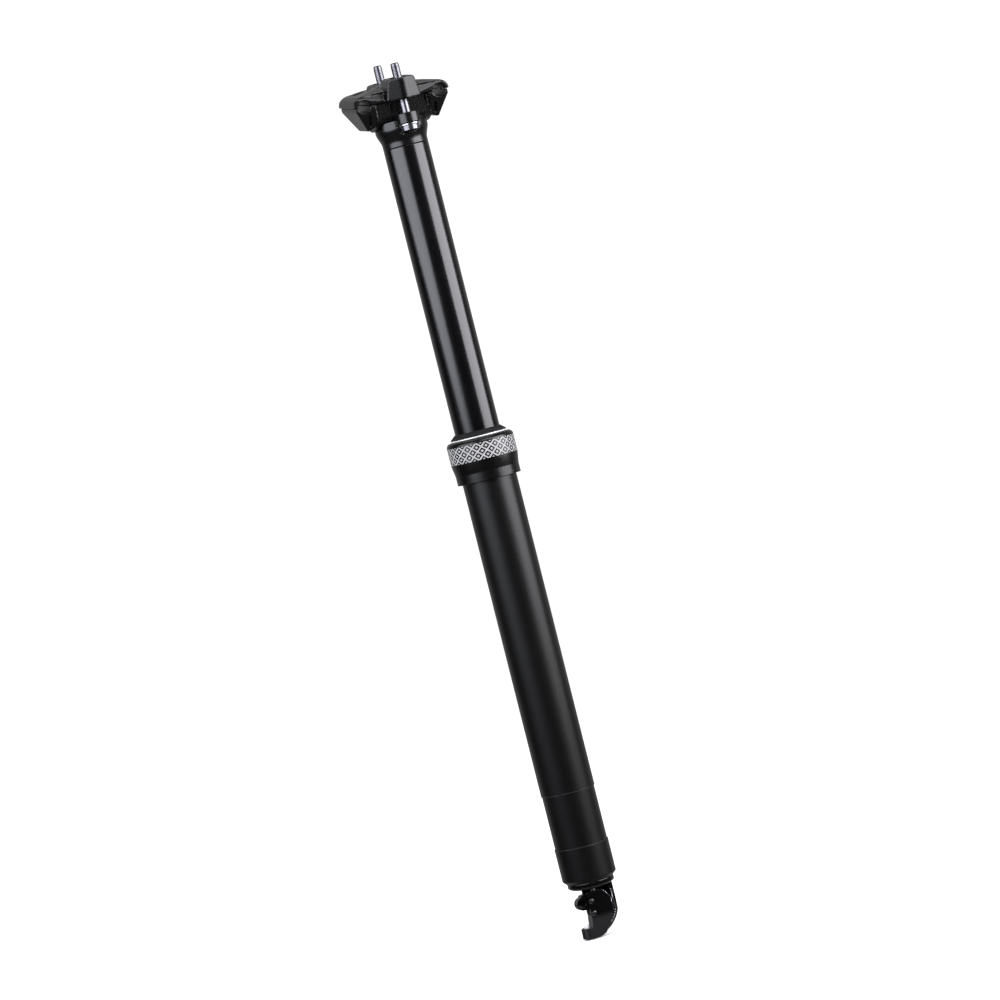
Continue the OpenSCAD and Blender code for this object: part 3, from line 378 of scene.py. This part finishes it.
def stanchionFinish(cfg):
    mat, tree, shader, coords = newFinish("glossStanchion")
    hair = grain(tree, coords, cfg["hairScale"], cfg["hairDetail"], cfg["hairStretch"])
    cloud = grain(tree, coords, cfg["cloudScale"], cfg["cloudDetail"])
    tree.links.new(shade(tree, cloud, cfg["dark"], cfg["light"]), shader.inputs["Base Color"])
    tree.links.new(spread(tree, hair, *cfg["roughness"]), shader.inputs["Roughness"])
    dent(tree, shader, hair, cfg["bump"], cfg["depth"] * mm)
    shader.inputs["Specular IOR Level"].default_value = cfg["gloss"]
    return mat


# turned and plated steel, with fine rings across the axis
steelSet = {
    "ringScale": 4200,
    "ringDetail": 2,
    "ringStretch": (0.05, 0.05, 1),
    "cloudScale": 400,
    "cloudDetail": 3,
    "roughness": (0.20, 0.32),
    "bump": 0.4,
    "depth": 0.004,  # mm
    "colours": {
        # dark and light
        "brightSteel": ((0.56, 0.57, 0.60), (0.70, 0.71, 0.74)),
        "boltSteel": ((0.17, 0.17, 0.19), (0.27, 0.27, 0.29)),
    },
}


def steelFinish(name, cfg):
    mat, tree, shader, coords = newFinish(name)
    rings = grain(tree, coords, cfg["ringScale"], cfg["ringDetail"], cfg["ringStretch"])
    cloud = grain(tree, coords, cfg["cloudScale"], cfg["cloudDetail"])
    tree.links.new(shade(tree, cloud, *cfg["colours"][name]), shader.inputs["Base Color"])
    tree.links.new(spread(tree, rings, *cfg["roughness"]), shader.inputs["Roughness"])
    dent(tree, shader, rings, cfg["bump"], cfg["depth"] * mm)
    shader.inputs["Metallic"].default_value = 1.0
    return mat


# the pale wire of the ring under the wiper and of the cable's ferrule
wireSet = {
    "cloudScale": 700,
    "cloudDetail": 3,
    "dark": (0.80, 0.81, 0.83),
    "light": (0.92, 0.93, 0.95),
    "roughness": (0.24, 0.34),
    "metal": 0.3,
}


def wireFinish(cfg):
    mat, tree, shader, coords = newFinish("brightWire")
    cloud = grain(tree, coords, cfg["cloudScale"], cfg["cloudDetail"])
    tree.links.new(shade(tree, cloud, cfg["dark"], cfg["light"]), shader.inputs["Base Color"])
    tree.links.new(spread(tree, cloud, *cfg["roughness"]), shader.inputs["Roughness"])
    shader.inputs["Metallic"].default_value = cfg["metal"]
    return mat


# the collar's satin ground and its band: a printed lattice of small lozenges, each with a dot
bandSet = {
    "dark": (0.0009, 0.0009, 0.0010),
    "light": (0.0016, 0.0016, 0.0017),
    "roughness": (0.24, 0.30),
    "grainSize": 0.16,  # mm, as the next four
    "depth": 0.006,
    "low": 11.8,
    "high": 21.4,
    "edge": 0.12,
    "gloss": 0.55,
    "rows": 2,
    "round": 22,
    "line": 0.115,  # half the width of a line, and of a dot, as a share of a lozenge
    "dot": 0.17,
    "inkScale": 900,
    "inkDetail": 3,
    "inkDark": (0.24, 0.24, 0.245),
    "inkLight": (0.32, 0.32, 0.325),
    "inkRoughness": 0.5,
}


def collarFinish(cfg):
    mat, tree, shader, coords = newFinish("bandedCollar")
    links = tree.links

    def calc(kind, a, b=None):
        node = tree.nodes.new("ShaderNodeMath")
        node.operation = kind
        for socket, value in zip(node.inputs, (a, b)):
            if isinstance(value, (int, float)):
                socket.default_value = value
            elif value is not None:
                links.new(value, socket)
        return node.outputs["Value"]

    parts = tree.nodes.new("ShaderNodeSeparateXYZ")
    links.new(coords, parts.inputs["Vector"])
    turn = calc("ARCTAN2", parts.outputs["Y"], parts.outputs["X"])
    across = calc("MULTIPLY", turn, cfg["round"] / (2 * math.pi))
    height = (cfg["high"] - cfg["low"]) * mm
    above = calc("SUBTRACT", parts.outputs["Z"], cfg["low"] * mm)
    along = calc("MULTIPLY", above, cfg["rows"] / height)
    fromMiddle = []
    for kind in ("ADD", "SUBTRACT"):
        leaning = calc(kind, across, along)
        fromMiddle.append(calc("ABSOLUTE", calc("SUBTRACT", calc("FRACT", leaning), 0.5)))
    lattice = calc("GREATER_THAN", calc("MAXIMUM", *fromMiddle), 0.5 - cfg["line"])
    dots = calc("LESS_THAN", calc("MAXIMUM", *fromMiddle), cfg["dot"])
    inside = calc("MULTIPLY", calc("GREATER_THAN", above, cfg["edge"] * mm),
                  calc("LESS_THAN", above, height - cfg["edge"] * mm))
    printed = calc("MULTIPLY", calc("MAXIMUM", lattice, dots), inside)

    fine, cloud = fineAndCloud(tree, coords, cfg["grainSize"])
    ground = shade(tree, cloud, cfg["dark"], cfg["light"])
    ink = shade(tree, grain(tree, coords, cfg["inkScale"], cfg["inkDetail"]), cfg["inkDark"], cfg["inkLight"])
    links.new(blendColour(tree, printed, ground, ink), shader.inputs["Base Color"])
    roughness = blendNumber(tree, printed, spread(tree, fine, *cfg["roughness"]), cfg["inkRoughness"])
    links.new(roughness, shader.inputs["Roughness"])
    dent(tree, shader, fine, grainSet["bump"], cfg["depth"] * mm)
    shader.inputs["Specular IOR Level"].default_value = cfg["gloss"]
    return mat


finishes = {name: plainFinish(name) for name in finishSet}
finishes.update({name: steelFinish(name, steelSet) for name in steelSet["colours"]})
finishes["glossStanchion"] = stanchionFinish(stanchionSet)
finishes["brightWire"] = wireFinish(wireSet)
finishes["bandedCollar"] = collarFinish(bandSet)
finishes["castBracket"] = castFinish(castSet)
print("finishes mixed:", len(finishes))


# which finish each node of the model wears
wears = {
    "outer_tube": "satinTube", "end_cap": "satinTube", "collar": "bandedCollar",
    "wiper_seal": "sealRubber", "wiper_ring": "brightWire", "stanchion": "glossStanchion",
    "upper_bushing": "bearingPolymer", "lower_bushing": "bearingPolymer", "anti_rotation_keys": "plainBrass",
    "piston_rod": "brightSteel", "piston": "plainBrass", "piston_ring": "sealRubber",
    "piston_nut": "brightSteel", "stud_nut": "darkSteel",
    "cartridge_cylinder": "plainAluminium", "cartridge_gland": "plainAluminium", "rod_seal": "sealRubber",
    "cartridge_clip": "darkSteel", "cartridge_plug": "plainAluminium",
    "floating_piston": "plainAluminium", "floating_piston_ring": "sealRubber",
    "release_pin": "plainAluminium", "valve_head": "plainBrass", "pin_spring": "brightSteel",
    "actuator_bracket": "castBracket", "actuator_lever": "glossCasting", "bracket_screws": "brightSteel",
    "pivot_pin": "blackSteel", "spacer_pin": "blackSteel", "cable_ferrule": "brightWire",
    "saddle_head": "satinHead", "lower_cradle": "satinClamp", "upper_clamp": "satinClamp",
    "clamp_bolts": "boltSteel", "clamp_washers": "brightSteel",
    "front_clamp_nut": "brightSteel", "rear_clamp_nut": "brightSteel",
}
for name, finish in wears.items():
    nodes[name].data.materials.clear()
    nodes[name].data.materials.append(finishes[finish])
bodyOf = {node: body for body, members in frame["record"]["behaviour"]["bodies"].items() for node in members}
print("nodes dressed:", len(wears))


# every piece that stands for a node starts as a merged copy of it
mergeGap = 0.002  # mm
flatAngle = 0.6  # degrees: faces that meet at less are one face


def mergedCopy(node):
    bm = bmesh.new()
    bm.from_mesh(nodes[node].data)
    bmesh.ops.remove_doubles(bm, verts=bm.verts, dist=mergeGap * mm)
    return bm


def joinFlats(bm):
    bmesh.ops.dissolve_limit(bm, angle_limit=math.radians(flatAngle), verts=bm.verts, edges=bm.edges)


# a turned shape: one full spin, with its poles closed and its faces outwards
def spinRound(bm, geometry, middle, axis, segments):
    bmesh.ops.spin(bm, geom=geometry, cent=middle, axis=axis, angle=2 * math.pi,
                   steps=segments, use_merge=True)
    bmesh.ops.remove_doubles(bm, verts=bm.verts, dist=mergeGap * mm)
    bmesh.ops.recalc_face_normals(bm, faces=bm.faces)


def dress(piece, node):
    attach(piece, bodyOf[node])


def makePiece(name, bm, finish):
    mesh = bpy.data.meshes.new(name)
    bm.to_mesh(mesh)
    bm.free()
    mesh.materials.clear()
    mesh.materials.append(finishes[finish])
    mesh.shade_smooth()
    piece = bpy.data.objects.new(name, mesh)
    scene.collection.objects.link(piece)
    return piece


# turned and machined pieces: the model's shape, with its sharp edges rounded
roundedSet = {
    # node: width mm, segments, angle of an edge that is rounded
    "outer_tube": (0.15, 2, 35),
    "collar": (0.22, 2, 12),
    "wiper_seal": (0.12, 2, 25),
    "end_cap": (0.22, 2, 30),
    "stanchion": (0.35, 3, 35),
    "saddle_head": (0.4, 3, 30),
    "clamp_bolts": (0.25, 2, 35),
    "clamp_washers": (0.15, 2, 35),
    "front_clamp_nut": (0.25, 2, 30),
    "rear_clamp_nut": (0.25, 2, 30),
    "bracket_screws": (0.15, 2, 30),
    "stud_nut": (0.25, 2, 35),
    "cable_ferrule": (0.12, 2, 30),
}
# rolled threads on the bolts, in mm: the plain shanks end inside the clamp, where the threads start
threadSet = {
    "start": 214.0,
    "lead": 0.4,  # how far the threads reach down into the shank
    "shaftAbove": 230.0,  # the bolt's points above this are on its shaft
    "major": 2.5,
    "minor": 2.3,
    "sink": 0.1,
    "pitch": 0.8,
    "crest": (0.3, 0.7),  # shares of the pitch
    "turnSteps": 20,
    "sides": 32,
    "tip": 0.6,
    "sharp": 35,  # degrees
}


def cutShanks(bm, level):
    geometry = bm.verts[:] + bm.edges[:] + bm.faces[:]
    bmesh.ops.bisect_plane(bm, geom=geometry, plane_co=(0, 0, level), plane_no=(0, 0, 1), clear_outer=True)
    bmesh.ops.holes_fill(bm, edges=[edge for edge in bm.edges if edge.is_boundary], sides=0)


def roundEdges(node, width, segments, angle):
    bm = mergedCopy(node)
    if node == "clamp_bolts":
        cutShanks(bm, threadSet["start"] * mm)
    joinFlats(bm)
    piece = makePiece(node + ".rounded", bm, wears[node])
    piece.data.set_sharp_from_angle(angle=math.radians(angle))
    bevel = piece.modifiers.new("edges", "BEVEL")
    bevel.width = width * mm
    bevel.segments = segments
    bevel.limit_method = "ANGLE"
    bevel.angle_limit = math.radians(angle)
    bevel.use_clamp_overlap = False
    bevel.miter_outer = "MITER_ARC"
    even = piece.modifiers.new("evenShading", "WEIGHTED_NORMAL")
    even.keep_sharp = True
    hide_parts(node)
    dress(piece, node)


for node, (width, segments, angle) in roundedSet.items():
    roundEdges(node, width, segments, angle)
print("edges rounded:", len(roundedSet), "pieces")


# a core with a tapered tip, and a ridge wound round it
def windThread(bm, spot, low, high, cfg):
    major, minor, pitch = cfg["major"] * mm, cfg["minor"] * mm, cfg["pitch"] * mm
    tip = cfg["tip"] * mm
    stretches = ((low, high - tip, minor, minor), (high - tip, high, minor, minor - tip / 2))
    for base, top, lowRadius, highRadius in stretches:
        place = Matrix.Translation((*spot, (base + top) / 2))
        bmesh.ops.create_cone(bm, cap_ends=True, segments=cfg["sides"], radius1=lowRadius,
                              radius2=highRadius, depth=top - base, matrix=place)
    turns = int((high - tip - low) / pitch) - 1
    root = minor - cfg["sink"] * mm
    crestLow, crestHigh = cfg["crest"]
    profile = ((root, 0.0), (major, crestLow), (major, crestHigh), (root, 1.0))
    ends = [bm.verts.new((spot[0] + out, spot[1], low + rise * pitch)) for out, rise in profile]
    edges = [bm.edges.new((ends[i - 1], ends[i])) for i in range(len(ends))]
    wound = bmesh.ops.spin(bm, geom=ends + edges, cent=(*spot, 0), axis=(0, 0, 1),
                           dvec=(0, 0, pitch / cfg["turnSteps"]), angle=turns * 2 * math.pi,
                           steps=turns * cfg["turnSteps"])
    bm.faces.new(ends)
    bm.faces.new([item for item in wound["geom_last"] if isinstance(item, bmesh.types.BMVert)])


def threadBolts(cfg):
    whole = mergedCopy("clamp_bolts")
    bm = bmesh.new()
    for side in (-1, 1):
        bolt = [vert.co for vert in whole.verts if vert.co.y * side > 0]
        shaft = [co.y for co in bolt if co.z > cfg["shaftAbove"] * mm]
        middle = sum(shaft) / len(shaft)
        windThread(bm, (0, middle), (cfg["start"] - cfg["lead"]) * mm, max(co.z for co in bolt), cfg)
    whole.free()
    bmesh.ops.recalc_face_normals(bm, faces=bm.faces)
    piece = makePiece("clamp_bolts.threads", bm, wears["clamp_bolts"])
    piece.data.set_sharp_from_angle(angle=math.radians(cfg["sharp"]))
    dress(piece, "clamp_bolts")


threadBolts(threadSet)
print("bolts threaded")


# forged and cast pieces: the model's shape with its edges and inner corners eased as a die leaves them
forgedSet = {
    # node: voxel mm, rounds of smoothing
    "upper_clamp": (0.40, 7),
    "lower_cradle": (0.40, 5),
    "actuator_bracket": (0.24, 5),
    "actuator_lever": (0.18, 5),
}
easeFactor = 0.5


# the bracket's outer front edges are cut back to a broad slope before it is eased
slopeSet = {
    # mm and degrees
    "front": -4.6,
    "near": 0.02,
    "from": 2.0,
    "strap": 11.1,
    "foot": -250.9,
    "width": 2.2,
    "sharp": 60,
}


def slopeEdges(bm, cfg):
    joinFlats(bm)
    outer = []
    for edge in bm.edges:
        ends = [vert.co / mm for vert in edge.verts]
        onFront = all(abs(co.y - cfg["front"]) < cfg["near"] and co.x > cfg["from"] for co in ends)
        onStrap = all(abs(co.x - cfg["strap"]) < cfg["near"] for co in ends)
        onBelly = all(co.z < cfg["foot"] for co in ends)
        if onFront and (onStrap or onBelly) and edge.calc_face_angle(0) > math.radians(cfg["sharp"]):
            outer.append(edge)
    bmesh.ops.bevel(bm, geom=outer, offset=cfg["width"] * mm, affect="EDGES", segments=1,
                    profile=0.5, material=-1)


# the easing fills hollows a little, so the nuts' seats are opened by as much first
seatSet = {"around": 0.6, "open": 0.18}  # mm


def openSeats(bm, cfg):
    bm.normal_update()
    around = Vector((1, 1, 1)) * cfg["around"] * mm
    for node in ("front_clamp_nut", "rear_clamp_nut"):
        low, high = (Vector(corner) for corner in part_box(node))
        low, high = low - around, high + around
        for vert in bm.verts:
            if all(low[axis] < vert.co[axis] < high[axis] for axis in range(3)):
                vert.co -= vert.normal * cfg["open"] * mm


# before the upper clamp is eased, its wings' ends lean back above a line and their brows are rounded
wingSet = {
    # mm and degrees, in the clamp's own frame about the rails' axis
    "tilt": 8.0,
    "axis": 218.1,
    "end": 15.5,
    "near": 0.05,
    "from": 8.9,
    "rail": 22.0,
    "line": 3.7,  # the line's height over the rail, and its climb outwards
    "climb": 0.223,
    "slope": 0.49,
    "browAbove": 0.3,
    "sharp": 30,
    "width": 0.9,
    "segments": 3,
}


def roundWings(bm, cfg):
    joinFlats(bm)
    level = Matrix.Rotation(math.radians(-cfg["tilt"]), 3, "X")
    axis = Vector((0, 0, cfg["axis"]))
    for vert in bm.verts:
        vert.co = level @ (vert.co / mm - axis)

    def aboveLine(co):
        return co.z - cfg["line"] - cfg["climb"] * (abs(co.x) - cfg["rail"])

    def onEnd(co):
        return abs(abs(co.y) - cfg["end"]) < cfg["near"] and abs(co.x) > cfg["from"]

    for side in (1, -1):
        ends = [face for face in bm.faces
                if all(onEnd(vert.co) and vert.co.x * side > 0 for vert in face.verts)]
        parts = {part: None for face in ends for part in (*face.verts, *face.edges)}
        bmesh.ops.bisect_plane(bm, geom=[*parts, *ends], plane_co=(side * cfg["rail"], 0, cfg["line"]),
                               plane_no=(-side * cfg["climb"], 0, 1))
    bm.normal_update()
    brows = []
    for edge in bm.edges:
        high = all(onEnd(vert.co) and aboveLine(vert.co) > cfg["browAbove"] for vert in edge.verts)
        if high and edge.calc_face_angle(0) > math.radians(cfg["sharp"]):
            brows.append(edge)
    for vert in bm.verts:
        if onEnd(vert.co):
            vert.co.y -= math.copysign(cfg["slope"] * max(aboveLine(vert.co), 0), vert.co.y)
    bmesh.ops.bevel(bm, geom=brows, offset=cfg["width"], affect="EDGES", segments=cfg["segments"],
                    profile=0.5, material=-1)
    back = level.inverted()
    for vert in bm.verts:
        vert.co = (back @ vert.co + axis) * mm
    bm.normal_update()


def forge(node, voxel, rounds):
    bm = mergedCopy(node)
    if node == "actuator_bracket":
        slopeEdges(bm, slopeSet)
    if node == "upper_clamp":
        openSeats(bm, seatSet)
        roundWings(bm, wingSet)
    piece = makePiece(node + ".forged", bm, wears[node])
    skin = piece.modifiers.new("skin", "REMESH")
    skin.mode = "VOXEL"
    skin.voxel_size = voxel * mm
    skin.use_smooth_shade = True
    ease = piece.modifiers.new("ease", "SMOOTH")
    ease.factor = easeFactor
    ease.iterations = rounds
    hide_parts(node)
    dress(piece, node)


for node, (voxel, rounds) in forgedSet.items():
    forge(node, voxel, rounds)
print("forgings eased:", len(forgedSet), "pieces")


# the actuator's two pins, with domed ends
pinSet = {"dome": 0.4, "domeSteps": 6, "segments": 32}


def domedPin(node, cfg):
    low, high = (Vector(corner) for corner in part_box(node))
    middle = (low + high) / 2
    radius = (high.z - low.z) / 2
    half = (high.y - low.y) / 2
    dome = cfg["dome"] * mm
    bm = bmesh.new()
    outline = []
    for side in (1, -1):
        steps = range(cfg["domeSteps"] + 1)
        for step in (steps if side > 0 else reversed(steps)):
            turn = math.radians(90 * step / cfg["domeSteps"])
            out = side * (half - dome + dome * math.cos(turn))
            outline.append(bm.verts.new(middle + Vector((0, out, radius * math.sin(turn)))))
    edges = [bm.edges.new(pair) for pair in zip(outline, outline[1:])]
    spinRound(bm, outline + edges, middle, (0, 1, 0), cfg["segments"])
    piece = makePiece(node + ".domed", bm, wears[node])
    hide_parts(node)
    dress(piece, node)


for node in ("pivot_pin", "spacer_pin"):
    domedPin(node, pinSet)
print("pins domed")


# bare metal along the bracket's front edges on the strap's side, where its faces were milled
bareSet = {
    # mm and degrees
    "front": -4.6,
    "near": 0.02,
    "from": 3.9,
    "slot": 8.5,
    "slotNear": 0.1,
    "sharp": 20,
    "radius": 0.15,
    "sink": 0.04,
    "segments": 8,
}


def bareEdges(cfg):
    source = mergedCopy("actuator_bracket")
    slopeEdges(source, slopeSet)
    bm = bmesh.new()
    for edge in source.edges:
        ends = [vert.co / mm for vert in edge.verts]
        onFront = all(abs(co.y - cfg["front"]) < cfg["near"] and co.x > cfg["from"] for co in ends)
        inSlot = all(abs(co.x - cfg["slot"]) < cfg["slotNear"] for co in ends)
        if not onFront or inSlot or edge.calc_face_angle(0) < math.radians(cfg["sharp"]):
            continue
        inward = sum((face.normal for face in edge.link_faces), Vector()).normalized() * -cfg["sink"] * mm
        first, second = (vert.co + inward for vert in edge.verts)
        along = second - first
        turned = along.to_track_quat("Z", "Y").to_matrix().to_4x4()
        place = Matrix.Translation((first + second) / 2) @ turned
        bmesh.ops.create_cone(bm, cap_ends=True, segments=cfg["segments"], radius1=cfg["radius"] * mm,
                              radius2=cfg["radius"] * mm, depth=along.length, matrix=place)
    source.free()
    piece = makePiece("actuator_bracket.edges", bm, "brightSteel")
    dress(piece, "actuator_bracket")


bareEdges(bareSet)
print("bracket edges bared")


# the swelling underside of the bracket's base, round the nut
skirtSet = {
    # radius and height of each corner, mm
    "outline": ((7.4, -234.0), (7.4, -235.7), (9.4, -235.7), (11.2, -235.3), (12.5, -234.6),
                (13.1, -233.7), (13.1, -233.2)),
    "segments": 96,
    "sharp": 50,  # degrees
}


def baseSkirt(cfg):
    bm = bmesh.new()
    ring = [bm.verts.new((out * mm, 0, rise * mm)) for out, rise in cfg["outline"]]
    edges = [bm.edges.new((ring[i - 1], ring[i])) for i in range(len(ring))]
    spinRound(bm, ring + edges, (0, 0, 0), (0, 0, 1), cfg["segments"])
    piece = makePiece("actuator_bracket.skirt", bm, wears["actuator_bracket"])
    piece.data.set_sharp_from_angle(angle=math.radians(cfg["sharp"]))
    dress(piece, "actuator_bracket")


baseSkirt(skirtSet)
print("base skirted")


# fine pale lines round the tube's lower step and the end cap's rim: painted highlights where those edges
# catch the light
lineSet = {
    # mm
    "radius": 0.14,
    "corners": 8,
    "segments": 96,
    "places": {
        # node: height and reach from the post's axis
        "outer_tube": (-180.0, 15.42),
        "end_cap": (-211.0, 15.42),
    },
}


def paintedHighlightLine(node, height, reach, cfg):
    bm = bmesh.new()
    place = Matrix.Translation((reach * mm, 0, height * mm)) @ Matrix.Rotation(math.pi / 2, 4, "X")
    bmesh.ops.create_circle(bm, segments=cfg["corners"], radius=cfg["radius"] * mm, matrix=place)
    spinRound(bm, bm.verts[:] + bm.edges[:], (0, 0, 0), (0, 0, 1), cfg["segments"])
    # the line's pale colour is a painted highlight
    piece = makePiece(node + ".line", bm, "paintedEdgeHighlight")
    dress(piece, node)


for node, (height, reach) in lineSet["places"].items():
    paintedHighlightLine(node, height, reach, lineSet)
print("painted highlight lines:", len(lineSet["places"]))
